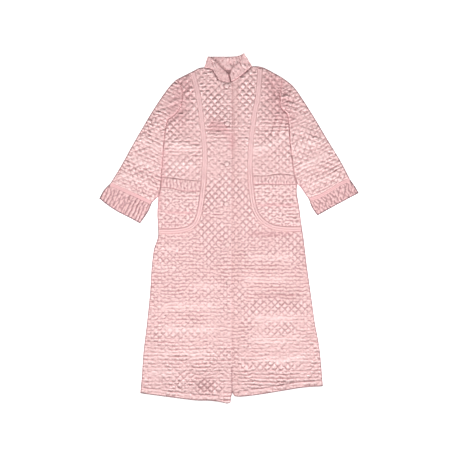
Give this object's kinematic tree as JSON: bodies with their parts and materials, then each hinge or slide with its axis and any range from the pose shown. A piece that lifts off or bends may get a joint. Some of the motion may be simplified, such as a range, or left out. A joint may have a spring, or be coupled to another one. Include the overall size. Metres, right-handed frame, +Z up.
{
  "type": "quilted coat",
  "caption": "Long quilted satin housecoat laid flat, with a stand collar, cuffed sleeves, taped patch pockets and covered buttons.",
  "frame": {"origin": "middle of the coat's bounding box, on the surface that it lies on", "axes": "+Y from the hem to the collar, +Z up from the surface, +X to the wearer's left"},
  "size_m": [1.0136, 1.3684, 0.0171],
  "materials": {
    "quilted_satin": "pale pink polyester satin, machine quilted in small diamonds",
    "plain_satin": "pale pink polyester satin, not quilted",
    "satin_tape": "pink satin tape with two corded ridges",
    "covered_button": "pink satin over a domed button"
  },
  "bodies": {
    "root": {"back": "quilted_satin", "front_right": "quilted_satin", "front_left": "quilted_satin", "button_band": "quilted_satin", "button_stand": "plain_satin", "collar": "quilted_satin", "sleeve_right": "quilted_satin", "sleeve_left": "quilted_satin", "cuff_right": "quilted_satin", "cuff_left": "quilted_satin", "cuff_tape_right": "satin_tape", "cuff_tape_left": "satin_tape", "pocket_right": "quilted_satin", "pocket_left": "quilted_satin", "pocket_band_right": "quilted_satin", "pocket_band_left": "quilted_satin", "trim_tape_right": "satin_tape", "trim_tape_left": "satin_tape", "button_1": "covered_button", "button_2": "covered_button", "button_3": "covered_button", "button_4": "covered_button", "button_5": "covered_button", "button_6": "covered_button"}
  },
  "joints": []
}
